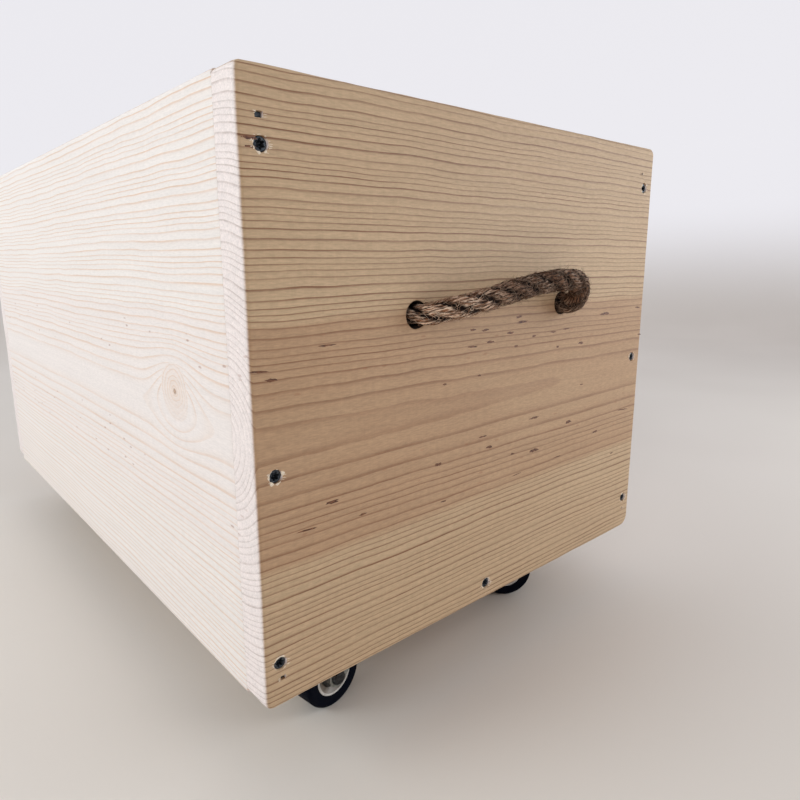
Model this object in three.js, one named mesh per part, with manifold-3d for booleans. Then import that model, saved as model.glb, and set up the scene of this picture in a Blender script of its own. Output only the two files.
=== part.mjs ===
// Wooden toy box on swivel casters, with a rope handle through each end board.
// Millimetres, +Z up. The origin is on the floor under the middle of the box;
// X runs along the length, and the box's right side faces -Y.

import * as THREE from 'three';
import { mergeVertices } from 'three/addons/utils/BufferGeometryUtils.js';
import Module from 'manifold-3d';

const wasm = await Module();
wasm.setup();

// ---- driving dimensions ----------------------------------------------------

const LENGTH = 560; // over both end boards
const WIDTH = 345; // over both side boards
const WALL_HEIGHT = 300;
const WALL = 20; // thickness of the end and side boards
const BOTTOM = 18; // thickness of the bottom board
const BOTTOM_RECESS = 2; // underside of the bottom board above the walls' lower edges
const GROUND_GAP = 50; // the walls' lower edges above the floor
const GAP = 0.3; // clearance between touching pieces

const EDGE_ROUND = 3.5; // rounding along the outer edges
const RIM_ROUND = 2; // rounding along the inner top edges
const CORNER_ROUND = { nearTop: 4, farTop: 5, farBottom: 9, nearBottom: 5 }; // of an end board

const ROPE_RADIUS = 6;
const ROPE_HOLE_RADIUS = 7.5;
const ROPE_HOLE_HEIGHT = 191; // above the walls' lower edges
const NEAR_HOLE = 101; // hole centres from the board's near edge
const FAR_HOLE = 234;
const SWING_OFFSET = 6.5; // the bow's swing axis in front of the end board
const KNOT_RADIUS = 14;
const KNOT_LENGTH = 26;

const SCREW_LENGTH = 50;
const SCREW_SHANK_RADIUS = 2;
const SCREW_HEAD_RADIUS = 3.5;
const SCREW_HEAD_DEPTH = 3;
const SCREW_SUNK = 0.8; // the head's face below the board's face

const WHEEL_RADIUS = 21;
const WHEEL_WIDTH = 18;
const TRAIL = 16; // axle behind the swivel axis
const CASTER_INSET = 46; // swivel axis from the end board's outer face
const CASTER_SPREAD = 92; // swivel axis from the box's middle line
const CASTER_TURN = { front_right: 7, front_left: -37, rear_right: 0, rear_left: 0 }; // degrees
const PLATE_SIZE = 46;
const PLATE = 2;
const FORK_SHEET = 1.8;
const FORK_GAP = 10.4; // half the clear width between the fork's legs

// ---- derived heights and faces --------------------------------------------

const wallTop = GROUND_GAP + WALL_HEIGHT;
const innerEnd = LENGTH / 2 - WALL; // inner face of an end board
const undersideZ = GROUND_GAP + BOTTOM_RECESS;
const plateTop = undersideZ - GAP;
const plateBottom = plateTop - PLATE;

const WOOD = { color: 0xd9bd96, roughness: 0.75, metalness: 0 };
const ROPE = { color: 0x8c6a47, roughness: 0.95, metalness: 0 };
const SCREW = { color: 0x2f3438, roughness: 0.4, metalness: 0.8 };
const ZINC = { color: 0xa9adb0, roughness: 0.35, metalness: 0.9 };
const RIM = { color: 0xb5ada2, roughness: 0.5, metalness: 0 };
const RUBBER = { color: 0x14161c, roughness: 0.8, metalness: 0 };

const toyBox = new THREE.Group();

// ---- solids, joins and cuts -------------------------------------------------

function solid(geometry) {
  const bare = geometry.clone();
  bare.deleteAttribute('normal');
  bare.deleteAttribute('uv');
  const merged = mergeVertices(bare, 1e-4);
  return new wasm.Manifold(new wasm.Mesh({
    numProp: 3,
    vertProperties: new Float32Array(merged.attributes.position.array),
    triVerts: new Uint32Array(merged.index.array),
  }));
}

function geometryOf(manifold) {
  const mesh = manifold.getMesh();
  const geometry = new THREE.BufferGeometry();
  geometry.setAttribute('position', new THREE.BufferAttribute(mesh.vertProperties, 3));
  geometry.setIndex(new THREE.BufferAttribute(mesh.triVerts, 1));
  geometry.computeVertexNormals();
  return geometry;
}

function cut(base, tools) {
  return tools.reduce((left, tool) => left.subtract(solid(tool)), solid(base));
}

function join(pieces) {
  return pieces.slice(1).reduce((whole, piece) => whole.add(solid(piece)), solid(pieces[0]));
}

function place(parent, name, geometry, finish) {
  const mesh = new THREE.Mesh(geometry, new THREE.MeshStandardMaterial(finish));
  mesh.name = name;
  parent.add(mesh);
  return mesh;
}

function block(x0, x1, y0, y1, z0, z1) {
  const box = new THREE.BoxGeometry(x1 - x0, y1 - y0, z1 - z0);
  return box.translate((x0 + x1) / 2, (y0 + y1) / 2, (z0 + z1) / 2);
}

function rodAlongX(radius, x0, x1, y, z, sides) {
  const rod = new THREE.CylinderGeometry(radius, radius, x1 - x0, sides).rotateZ(-Math.PI / 2);
  return rod.translate((x0 + x1) / 2, y, z);
}

// A profile of [radius, along] pairs turned about the X axis.
function turnedAboutX(profile, sides) {
  const points = profile.map(([radius, along]) => new THREE.Vector2(radius, along));
  return new THREE.LatheGeometry(points, sides).rotateZ(-Math.PI / 2);
}

// A profile of [radius, height] pairs turned about the Z axis.
function turnedAboutZ(profile, sides) {
  const points = profile.map(([radius, height]) => new THREE.Vector2(radius, height));
  return new THREE.LatheGeometry(points, sides).rotateX(Math.PI / 2);
}

// A rectangle with a radius for each corner, counter-clockwise from the lower left.
function roundedRectangle(x0, y0, x1, y1, radii) {
  const [lowerLeft, lowerRight, upperRight, upperLeft] = radii;
  const shape = new THREE.Shape();
  shape.moveTo(x0 + lowerLeft, y0);
  shape.lineTo(x1 - lowerRight, y0);
  shape.absarc(x1 - lowerRight, y0 + lowerRight, lowerRight, -Math.PI / 2, 0);
  shape.lineTo(x1, y1 - upperRight);
  shape.absarc(x1 - upperRight, y1 - upperRight, upperRight, 0, Math.PI / 2);
  shape.lineTo(x0 + upperLeft, y1);
  shape.absarc(x0 + upperLeft, y1 - upperLeft, upperLeft, Math.PI / 2, Math.PI);
  shape.lineTo(x0, y0 + lowerLeft);
  shape.absarc(x0 + lowerLeft, y0 + lowerLeft, lowerLeft, Math.PI, 1.5 * Math.PI);
  return shape;
}

// An outline drawn in Y and Z, given a thickness along X.
function extrudeAlongX(shape, x0, x1, options = {}) {
  const settings = { depth: x1 - x0, bevelEnabled: false, curveSegments: 4, ...options };
  const geometry = new THREE.ExtrudeGeometry(shape, settings);
  geometry.applyMatrix4(new THREE.Matrix4().makeBasis(
    new THREE.Vector3(0, 1, 0), new THREE.Vector3(0, 0, 1), new THREE.Vector3(1, 0, 0)));
  return geometry.translate(x0, 0, 0);
}

// ---- screws -----------------------------------------------------------------

// Places of one end's screws: distance from the near edge, height above the lower edge.
const sideScrewInset = WALL / 2 + 1;
const endScrews = {
  near_top: [sideScrewInset, 268],
  near_middle: [sideScrewInset, 121],
  near_bottom: [sideScrewInset - 2, 24],
  far_top: [WIDTH - sideScrewInset - 1, 271],
  far_middle: [WIDTH - sideScrewInset - 1, 144],
  far_bottom: [WIDTH - sideScrewInset + 1, 26],
  bottom: [164, BOTTOM_RECESS + BOTTOM / 2],
};

// A countersunk screw whose head faces +X, its face at x = 0.
function screwProfile(clearance, headTop) {
  const head = SCREW_HEAD_RADIUS + clearance;
  const shank = SCREW_SHANK_RADIUS + clearance;
  return [
    [0, -SCREW_LENGTH - clearance],
    [shank * 0.4, -SCREW_LENGTH - clearance],
    [shank, -SCREW_LENGTH + 5],
    [shank, -SCREW_HEAD_DEPTH - clearance],
    [head, -0.4],
    [head, headTop],
    [0, headTop],
  ];
}

// The six-lobed driver recess in the head.
function driverRecess() {
  const lobes = new THREE.Shape();
  const steps = 12;
  for (let i = 0; i < steps; i += 1) {
    const angle = (i / steps) * 2 * Math.PI;
    const radius = 1.75 + 0.35 * Math.cos(6 * angle);
    const point = [radius * Math.cos(angle), radius * Math.sin(angle)];
    if (i === 0) lobes.moveTo(...point);
    else lobes.lineTo(...point);
  }
  return extrudeAlongX(lobes, -1.8, 1);
}

const screwGeometry = geometryOf(cut(turnedAboutX(screwProfile(0, 0), 12), [driverRecess()]));
const screwHole = turnedAboutX(screwProfile(GAP, SCREW_SUNK + 1), 12);

function screwPlace([fromNear, height]) {
  return [LENGTH / 2 - SCREW_SUNK, fromNear - WIDTH / 2, GROUND_GAP + height];
}

function screwHoles() {
  return Object.values(endScrews).map((spot) => screwHole.clone().translate(...screwPlace(spot)));
}

// The same holes for both ends: the rear end is the front one turned half round.
function bothEnds(geometries) {
  return [...geometries, ...geometries.map((geometry) => geometry.clone().rotateZ(Math.PI))];
}

// ---- boards -----------------------------------------------------------------

function endBoard() {
  const { nearTop, farTop, farBottom, nearBottom } = CORNER_ROUND;
  const outline = roundedRectangle(-WIDTH / 2, GROUND_GAP, WIDTH / 2, wallTop,
    [nearBottom, farBottom, farTop, nearTop]);
  const rounded = { bevelEnabled: true, bevelSegments: 3, bevelSize: EDGE_ROUND,
    bevelThickness: EDGE_ROUND, bevelOffset: -EDGE_ROUND };
  const slab = extrudeAlongX(outline, innerEnd - WALL, LENGTH / 2 - EDGE_ROUND, rounded);
  const inside = block(0, innerEnd, -WIDTH, WIDTH, 0, 2 * wallTop);
  const ropeHoles = [NEAR_HOLE, FAR_HOLE].map((fromNear) => rodAlongX(ROPE_HOLE_RADIUS,
    innerEnd - WALL, LENGTH / 2 + WALL, fromNear - WIDTH / 2, GROUND_GAP + ROPE_HOLE_HEIGHT, 20));
  return geometryOf(cut(slab, [inside, ...ropeHoles, ...screwHoles()]));
}

// One side board; outer is -1 for the board on -Y and +1 for the one on +Y.
function sideBoard(outer) {
  const face = outer * WIDTH / 2;
  const inner = face - outer * WALL;
  const radii = outer < 0
    ? [EDGE_ROUND, RIM_ROUND, RIM_ROUND, EDGE_ROUND]
    : [RIM_ROUND, EDGE_ROUND, EDGE_ROUND, RIM_ROUND];
  const section = roundedRectangle(Math.min(face, inner), GROUND_GAP, Math.max(face, inner),
    wallTop, radii);
  const board = extrudeAlongX(section, -innerEnd + GAP, innerEnd - GAP);
  return geometryOf(cut(board, bothEnds(screwHoles())));
}

function bottomBoard() {
  const halfLength = innerEnd - GAP;
  const halfWidth = WIDTH / 2 - WALL - GAP;
  const board = block(-halfLength, halfLength, -halfWidth, halfWidth, undersideZ,
    undersideZ + BOTTOM);
  return geometryOf(cut(board, bothEnds(screwHoles())));
}

// ---- rope handles -----------------------------------------------------------

// Route of the bow between the two holes: in front of the board, from the near edge,
// and above the walls' lower edges. It bulges out, and climbs towards the far hole.
const bowRoute = [
  [SWING_OFFSET, 102.5, 191.3],
  [12, 108.5, 193.2],
  [18, 119.5, 195.8],
  [21, 135, 199],
  [22.5, 154, 202.6],
  [22.8, 175, 205.6],
  [22.8, 195, 207.3],
  [21.8, 212, 207.6],
  [18.5, 225.5, 205.8],
  [15, 233, 201],
  [11.5, 236, 195.6],
  [SWING_OFFSET, 235.3, 191.3],
];

function endPoint([out, fromNear, height]) {
  return new THREE.Vector3(LENGTH / 2 + out, fromNear - WIDTH / 2, GROUND_GAP + height);
}

function circle(radius, sides) {
  return new THREE.Shape(new THREE.EllipseCurve(0, 0, radius, radius).getPoints(sides).slice(1));
}

function tube(points, steps) {
  const path = new THREE.CatmullRomCurve3(points, false, 'centripetal');
  return new THREE.ExtrudeGeometry(circle(ROPE_RADIUS, 8), { steps, extrudePath: path });
}

function ropeBow() {
  const route = bowRoute.map(endPoint);
  const ends = [route[0], route[route.length - 1]].map((centre) => {
    const ball = new THREE.SphereGeometry(ROPE_RADIUS, 10, 6);
    return ball.translate(centre.x, centre.y, centre.z);
  });
  return geometryOf(join([tube(route, 28), ...ends]));
}

// The rope inside its hole, from the knot to just behind the bow.
function ropeTail(fromNear) {
  const start = innerEnd - GAP;
  const end = LENGTH / 2 + GAP / 2;
  return rodAlongX(ROPE_RADIUS, start, end, fromNear - WIDTH / 2, GROUND_GAP + ROPE_HOLE_HEIGHT, 8);
}

// The stopper knot on the inside, a fat barrel with its cut end standing out.
function ropeKnot(fromNear) {
  const length = KNOT_LENGTH;
  const profile = [
    [0, -length - 12],
    [ROPE_RADIUS, -length - 12],
    [ROPE_RADIUS, -length],
    [KNOT_RADIUS * 0.8, -length * 0.9],
    [KNOT_RADIUS, -length * 0.65],
    [KNOT_RADIUS, -length * 0.35],
    [KNOT_RADIUS * 0.8, -length * 0.08],
    [ROPE_RADIUS, 0],
    [0, 0],
  ];
  const knot = turnedAboutX(profile, 10);
  return knot.translate(innerEnd - 2 * GAP, fromNear - WIDTH / 2, GROUND_GAP + ROPE_HOLE_HEIGHT);
}

// ---- casters ----------------------------------------------------------------

// A caster is drawn about its swivel axis, with its wheel trailing along -Y, then turned
// about that axis to the way it stands at rest.

function casterPlate() {
  const half = PLATE_SIZE / 2;
  const outline = roundedRectangle(-half, -half, half, half, [5, 5, 5, 5]);
  const plate = new THREE.ExtrudeGeometry(outline, { depth: PLATE, bevelEnabled: false,
    curveSegments: 3 }).translate(0, 0, plateBottom);
  const holeReach = half - 6;
  const holes = [[1, 1], [1, -1], [-1, 1], [-1, -1]].map(([x, y]) => {
    const hole = new THREE.CylinderGeometry(2.4, 2.4, 4 * PLATE, 8).rotateX(Math.PI / 2);
    return hole.translate(x * holeReach, y * holeReach, plateBottom);
  });
  const pinHole = new THREE.CylinderGeometry(3.3, 3.3, 4 * PLATE, 12).rotateX(Math.PI / 2);
  return geometryOf(cut(plate, [...holes, pinHole.translate(0, 0, plateBottom)]));
}

const crownTop = plateBottom - 4.2;

function ballRace() {
  const top = plateBottom - GAP;
  const low = crownTop + GAP;
  return turnedAboutZ([
    [3.6, low], [14, low], [15, low + 1], [15, top - 1], [14, top], [3.6, top], [3.6, low],
  ], 16);
}

function kingPin() {
  const headTop = crownTop - FORK_SHEET - GAP;
  return turnedAboutZ([
    [0, headTop - 1.8], [4.6, headTop - 1.6], [5.4, headTop], [3, headTop],
    [3, plateTop - 0.2], [0, plateTop - 0.2],
  ], 12);
}

// A folded sheet: a channel along Y, trimmed to the fork's side view.
function fork() {
  const outside = FORK_GAP + FORK_SHEET;
  const channel = cut(block(-outside, outside, -40, 20, 0, crownTop),
    [block(-FORK_GAP, FORK_GAP, -50, 30, -1, crownTop - FORK_SHEET)]);
  const boss = 6.5;
  const side = new THREE.Shape();
  side.moveTo(-TRAIL - boss, WHEEL_RADIUS);
  side.absarc(-TRAIL, WHEEL_RADIUS, boss, Math.PI, 1.85 * Math.PI);
  side.lineTo(9, crownTop - 8);
  side.quadraticCurveTo(13, crownTop - 5, 13, crownTop);
  side.lineTo(-TRAIL + 1, crownTop);
  side.lineTo(-TRAIL - boss, crownTop - 6);
  side.closePath();
  const trimmed = channel.intersect(solid(extrudeAlongX(side, -outside - 1, outside + 1,
    { curveSegments: 6 })));
  const axleHole = rodAlongX(3.3, -20, 20, -TRAIL, WHEEL_RADIUS, 12);
  const pinHole = new THREE.CylinderGeometry(3.3, 3.3, 12, 12).rotateX(Math.PI / 2);
  return geometryOf(trimmed.subtract(solid(axleHole))
    .subtract(solid(pinHole.translate(0, 0, crownTop))));
}

function axle() {
  const reach = FORK_GAP + FORK_SHEET + GAP;
  return turnedAboutX([
    [0, -reach - 1.6], [4, -reach - 1.6], [5, -reach], [3, -reach],
    [3, reach], [5, reach], [4, reach + 1.6], [0, reach + 1.6],
  ], 12).translate(0, -TRAIL, WHEEL_RADIUS);
}

const rimRadius = WHEEL_RADIUS * 0.68;

function rim() {
  const half = WHEEL_WIDTH / 2 - 0.4;
  return turnedAboutX([
    [3.3, -half - 1], [6, -half - 1], [6, -2], [rimRadius * 0.64, -2],
    [rimRadius * 0.7, -half + 1.5], [rimRadius, -half], [rimRadius, half],
    [rimRadius * 0.7, half - 1.5], [rimRadius * 0.64, 2], [6, 2], [6, half + 1],
    [3.3, half + 1], [3.3, -half - 1],
  ], 20).translate(0, -TRAIL, WHEEL_RADIUS);
}

function tyre() {
  const half = WHEEL_WIDTH / 2;
  const inner = rimRadius + GAP;
  return turnedAboutX([
    [inner, -half], [WHEEL_RADIUS - 2.5, -half], [WHEEL_RADIUS, -half + 2.5],
    [WHEEL_RADIUS, half - 2.5], [WHEEL_RADIUS - 2.5, half], [inner, half], [inner, -half],
  ], 28).translate(0, -TRAIL, WHEEL_RADIUS);
}

// ---- the whole box ----------------------------------------------------------

function addEnd(name, turn) {
  const end = new THREE.Group();
  end.rotation.z = turn;
  place(end, `end_board_${name}`, endBoard(), WOOD);
  for (const [spot, position] of Object.entries(endScrews)) {
    const screw = place(end, `screw_${name}_${spot}`, screwGeometry.clone(), SCREW);
    screw.position.set(...screwPlace(position));
  }
  place(end, `rope_bow_${name}`, ropeBow(), ROPE);
  for (const [side, fromNear] of [['near', NEAR_HOLE], ['far', FAR_HOLE]]) {
    place(end, `rope_tail_${name}_${side}`, ropeTail(fromNear), ROPE);
    place(end, `rope_knot_${name}_${side}`, ropeKnot(fromNear), ROPE);
  }
  toyBox.add(end);
}

function addCaster(name, x, y) {
  const caster = new THREE.Group();
  caster.position.set(x, y, 0);
  place(caster, `caster_plate_${name}`, casterPlate(), ZINC);
  place(caster, `ball_race_${name}`, ballRace(), ZINC);
  place(caster, `king_pin_${name}`, kingPin(), ZINC);
  const turning = new THREE.Group();
  turning.rotation.z = THREE.MathUtils.degToRad(CASTER_TURN[name]);
  place(turning, `fork_${name}`, fork(), ZINC);
  place(turning, `axle_${name}`, axle(), ZINC);
  place(turning, `rim_${name}`, rim(), RIM);
  place(turning, `tyre_${name}`, tyre(), RUBBER);
  caster.add(turning);
  toyBox.add(caster);
}

place(toyBox, 'side_board_right', sideBoard(-1), WOOD);
place(toyBox, 'side_board_left', sideBoard(1), WOOD);
place(toyBox, 'bottom_board', bottomBoard(), WOOD);
addEnd('front', 0);
addEnd('rear', Math.PI);

const casterX = LENGTH / 2 - CASTER_INSET;
addCaster('front_right', casterX, -CASTER_SPREAD);
addCaster('front_left', casterX, CASTER_SPREAD);
addCaster('rear_right', -casterX, -CASTER_SPREAD);
addCaster('rear_left', -casterX, CASTER_SPREAD);

export default toyBox;
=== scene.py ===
"""The looks of the wooden toy box: a pine crate on swivel casters, with a rope handle through each end.

Metres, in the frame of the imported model: +Z up, X along the box, and its right side facing -Y.
Shapes are drawn in millimetres and scaled once, when their mesh is made.
"""

import math
import random

import bmesh
import bpy
import numpy as np
from mathutils import Matrix, Vector, noise


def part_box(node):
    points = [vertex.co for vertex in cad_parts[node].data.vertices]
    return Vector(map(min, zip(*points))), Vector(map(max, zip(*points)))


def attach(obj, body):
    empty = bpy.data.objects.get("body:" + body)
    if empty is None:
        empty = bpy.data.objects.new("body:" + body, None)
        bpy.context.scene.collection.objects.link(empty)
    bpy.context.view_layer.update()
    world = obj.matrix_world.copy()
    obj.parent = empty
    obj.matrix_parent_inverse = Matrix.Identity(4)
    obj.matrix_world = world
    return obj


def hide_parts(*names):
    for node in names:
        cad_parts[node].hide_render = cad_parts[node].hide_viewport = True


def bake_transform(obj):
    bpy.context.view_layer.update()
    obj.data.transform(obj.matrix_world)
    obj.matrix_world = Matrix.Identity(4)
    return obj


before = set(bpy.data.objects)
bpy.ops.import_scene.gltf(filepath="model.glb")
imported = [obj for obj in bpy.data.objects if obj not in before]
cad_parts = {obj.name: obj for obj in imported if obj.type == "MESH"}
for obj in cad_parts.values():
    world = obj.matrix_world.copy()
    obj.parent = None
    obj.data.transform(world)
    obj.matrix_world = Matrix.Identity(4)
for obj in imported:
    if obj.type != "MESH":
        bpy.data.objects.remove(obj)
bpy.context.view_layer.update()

MM = 0.001
TURN = 2 * math.pi
ENDS = {"front": 1, "rear": -1}  # the rear end is the front one turned half round

# ---- sizes that come from the frame, in millimetres ---------------------------------------


def millimetres(node):
    """Lowest and highest corner of a CAD node."""
    return [np.array(corner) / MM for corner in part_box(node)]


end_low, end_high = millimetres("end_board_front")
side_low, side_high = millimetres("side_board_right")
FACE_X = end_high[0]  # outer face of the front end board
INNER_X = end_low[0]  # its inner face
HALF_WIDTH = end_high[1]
NEAR_Y = -HALF_WIDTH  # the end boards' near edge
LOWER_Z = end_low[2]  # the walls' lower edges
UPPER_Z = end_high[2]
WALL = side_high[1] - side_low[1]

# ---- camera -------------------------------------------------------------------------------

CAMERA_AT = (0.5268, -0.3027, 0.2708)
CAMERA_YAW = 138.95  # degrees from +X
CAMERA_DOWN = 11.86
CAMERA_ROLL = -0.24
CAMERA_LENS = 28.27  # millimetres on a 36 mm sensor
CAMERA_SHIFT = (0.007, -0.0124)


def make_camera():
    yaw, down, roll = (math.radians(a) for a in (CAMERA_YAW, CAMERA_DOWN, CAMERA_ROLL))
    ahead = Vector((math.cos(yaw) * math.cos(down), math.sin(yaw) * math.cos(down), -math.sin(down)))
    level = Vector((math.sin(yaw), -math.cos(yaw), 0))
    above = level.cross(ahead)
    right = level * math.cos(roll) + above * math.sin(roll)
    up = right.cross(ahead)
    data = bpy.data.cameras.new("camera")
    data.lens = CAMERA_LENS
    data.sensor_width = 36
    data.shift_x, data.shift_y = CAMERA_SHIFT
    data.clip_start = 0.01
    camera = bpy.data.objects.new("camera", data)
    turn = Matrix((right, up, -ahead)).transposed().to_4x4()
    camera.matrix_world = Matrix.Translation(CAMERA_AT) @ turn
    bpy.context.scene.collection.objects.link(camera)
    bpy.context.scene.camera = camera


make_camera()

# ---- meshes -------------------------------------------------------------------------------


def new_piece(name, vertices, faces, materials=(), smooth=True):
    """A mesh object from points in millimetres."""
    mesh = bpy.data.meshes.new(name)
    mesh.from_pydata([tuple(v) for v in np.asarray(vertices, float) * MM], [], faces)
    mesh.update()
    for material in materials:
        mesh.materials.append(material)
    if smooth:
        mesh.shade_smooth()
    else:
        mesh.shade_flat()
    piece = bpy.data.objects.new(name, mesh)
    bpy.context.scene.collection.objects.link(piece)
    return piece


def grid_faces(rows, columns):
    """Quads between rows of points whose last column meets the first."""
    faces = []
    for i in range(rows - 1):
        for j in range(columns):
            a, b = i * columns + j, i * columns + (j + 1) % columns
            faces.append((a, b, b + columns, a + columns))
    return faces


def loft(rings):
    """Vertices and faces of a closed solid through rings of equal length, with flat ends."""
    columns = len(rings[0])
    vertices = np.concatenate(rings)
    faces = grid_faces(len(rings), columns)
    faces.append(tuple(reversed(range(columns))))
    faces.append(tuple(range((len(rings) - 1) * columns, len(rings) * columns)))
    return vertices, faces


def joined(shapes):
    """One shape from several, each (vertices, faces)."""
    vertices, faces, start = [], [], 0
    for points, loops in shapes:
        vertices.append(np.asarray(points))
        faces += [tuple(start + i for i in loop) for loop in loops]
        start += len(points)
    return np.concatenate(vertices), faces


def round_noise(angle, scale, seed):
    """Noise from -1 to 1 that closes up round a circle."""
    return noise.noise(Vector((math.cos(angle) * scale, math.sin(angle) * scale, seed)))


def turned(profile, sides, ragged=None):
    """A profile of (radius, along) pairs turned about X, as rings; ragged(angle, along) scales a radius."""
    angles = np.linspace(0, TURN, sides, endpoint=False)
    rings = []
    for radius, along in profile:
        radii = [radius * (ragged(a, along) if ragged else 1) for a in angles]
        rings.append([(along, r * math.cos(a), r * math.sin(a)) for r, a in zip(radii, angles)])
    return [np.array(ring) for ring in rings]


def outward(piece):
    """Turns a piece's faces to point out of it."""
    work = bmesh.new()
    work.from_mesh(piece.data)
    bmesh.ops.recalc_face_normals(work, faces=work.faces)
    work.to_mesh(piece.data)
    work.free()
    return piece


def crisp(piece, angle=30):
    """Smooth shading that keeps the edges sharper than an angle in degrees."""
    piece.data.shade_smooth()
    piece.data.set_sharp_from_angle(angle=math.radians(angle))
    return piece


def cut_out(piece, cutters):
    """Takes closed shapes, each (vertices, faces) in millimetres, out of a piece."""
    tool = outward(new_piece("cutter", *joined(cutters)))
    cut = piece.modifiers.new("cut", "BOOLEAN")
    cut.operation, cut.solver, cut.object = "DIFFERENCE", "EXACT", tool
    graph = bpy.context.evaluated_depsgraph_get()
    result = bpy.data.meshes.new_from_object(piece.evaluated_get(graph))
    piece.modifiers.clear()
    piece.data = result
    bpy.data.objects.remove(tool)
    return piece


def turn_end(piece, end):
    """Turns a piece drawn for the front end to the end it belongs to."""
    if ENDS[end] < 0:
        piece.data.transform(Matrix.Rotation(math.pi, 4, "Z"))
    return piece


def on_end(end, point):
    """A point in metres from (out of the face, from the near edge, above the lower edge) in millimetres."""
    out, from_near, height = point
    side = ENDS[end]
    return Vector((side * (FACE_X + out), side * (NEAR_Y + from_near), LOWER_Z + height)) * MM


# ---- material nodes -----------------------------------------------------------------------


class Nodes:
    """A material's node tree, with a short call for each kind of node."""

    def __init__(self, name):
        self.material = bpy.data.materials.new(name)
        self.material.use_nodes = True
        self.tree = self.material.node_tree
        self.shader = self.tree.nodes["Principled BSDF"]

    def put(self, socket, value):
        if isinstance(value, bpy.types.NodeSocket):
            self.tree.links.new(value, socket)
        elif value is not None:
            socket.default_value = value

    def add(self, kind, inputs=(), **settings):
        node = self.tree.nodes.new(kind)
        for key, value in settings.items():
            setattr(node, key, value)
        for i, value in enumerate(inputs):
            self.put(node.inputs[i], value)
        return node

    def math(self, operation, a, b=None, c=None):
        node = self.add("ShaderNodeMath", operation=operation)
        for socket, value in zip(node.inputs, (a, b, c)):
            self.put(socket, value)
        return node.outputs[0]

    def object_mm(self):
        """Position in the piece's own space, in millimetres, as a vector."""
        place = self.add("ShaderNodeTexCoord").outputs["Object"]
        return self.times(place, (1 / MM, 1 / MM, 1 / MM))

    def split(self, vector):
        return self.add("ShaderNodeSeparateXYZ", [vector]).outputs

    def vector(self, x=0.0, y=0.0, z=0.0):
        return self.add("ShaderNodeCombineXYZ", [x, y, z]).outputs[0]

    def times(self, vector, scale):
        return self.add("ShaderNodeVectorMath", [vector, scale], operation="MULTIPLY").outputs[0]

    def plus(self, vector, shift):
        return self.add("ShaderNodeVectorMath", [vector, shift], operation="ADD").outputs[0]

    def noise(self, vector, detail=2.0, roughness=0.5):
        node = self.add("ShaderNodeTexNoise")
        self.put(node.inputs["Vector"], vector)
        node.inputs["Scale"].default_value = 1
        node.inputs["Detail"].default_value = detail
        node.inputs["Roughness"].default_value = roughness
        return node.outputs[0]

    def mottle(self, scale, detail):
        """Noise over the piece, with scale its patches per millimetre along X, Y and Z."""
        return self.noise(self.times(self.object_mm(), scale), detail)

    def step(self, value, low, high, to_low=0.0, to_high=1.0):
        """Smooth change from to_low at low to to_high at high."""
        node = self.add("ShaderNodeMapRange", interpolation_type="SMOOTHSTEP")
        for socket, number in zip(node.inputs, (value, low, high, to_low, to_high)):
            self.put(socket, number)
        return node.outputs[0]

    def mix(self, share, a, b, blend="MIX"):
        """Colour b over colour a."""
        node = self.add("ShaderNodeMix", data_type="RGBA", blend_type=blend)
        for socket, value in zip((node.inputs[0], node.inputs[6], node.inputs[7]), (share, a, b)):
            self.put(socket, value)
        return node.outputs[2]

    def grey(self, value):
        return self.add("ShaderNodeCombineColor", [value, value, value]).outputs[0]

    def finish(self, colour, roughness, height=None, depth_mm=0.1, strength=0.5, **constants):
        """Connects the shader; constants go straight on its own sockets."""
        self.put(self.shader.inputs["Base Color"], colour)
        self.put(self.shader.inputs["Roughness"], roughness)
        for name, value in constants.items():
            self.shader.inputs[name.replace("_", " ")].default_value = value
        if height is not None:
            bump = self.add("ShaderNodeBump")
            bump.inputs["Strength"].default_value = strength
            bump.inputs["Distance"].default_value = depth_mm * MM
            self.put(bump.inputs["Height"], height)
            self.put(self.shader.inputs["Normal"], bump.outputs[0])
        return self.material


def rgb(red, green, blue):
    """A colour from linear shares."""
    return (red, green, blue, 1.0)


# ---- pine ---------------------------------------------------------------------------------

RING_PITCH = 3.35  # mm from one growth ring to the next
RING_SWELL = 0.3  # share of a ring by which wide and narrow years shift it
SWELL_PERIOD = 20.0  # mm of growth between wide years
SWELL_FROM = 45.5
RING_PHASE = 0.264  # sets a ring edge where the end board's tongue closes
SQUEEZE = 10.0  # mm by which growth below the pith lags at most
SQUEEZE_REACH = 40.0
KNOT_RINGS = 5.5  # rings of a knot from its middle out
KNOT_EDGE = 1.15  # a knot's own rings reach this share of its size
KNOT_HEART = rgb(0.17, 0.075, 0.04)
HEART_RADIUS = 62.0  # heartwood inside this distance from the pith
SLOW_WAVE = 4.5  # mm by which the grain wanders up and down, slowly
QUICK_WAVE = 1.8  # and within a few centimetres
RIPPLE = 0.4  # mm by which a ring's line is uneven
LATE_FROM = 0.67  # share of a ring at which its dark late wood starts
LATE_FULL = 0.92
LINE_TONE = 0.88  # how dark the late wood is drawn
SOFT_TONE = 0.12  # and the soft shading that leads up to it
END_GRAIN_LINES = 0.42  # share of the lines' tone that shows on end grain
FLECK_RINGS = (33.0, 56.0)  # resin flecks lie between these distances from the pith
FLECK_SIZE = (13.0, 16.0, 4.4)  # mm between flecks: along the grain, in depth and up
FLECK_COLOUR = rgb(0.34, 0.115, 0.045)


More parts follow.
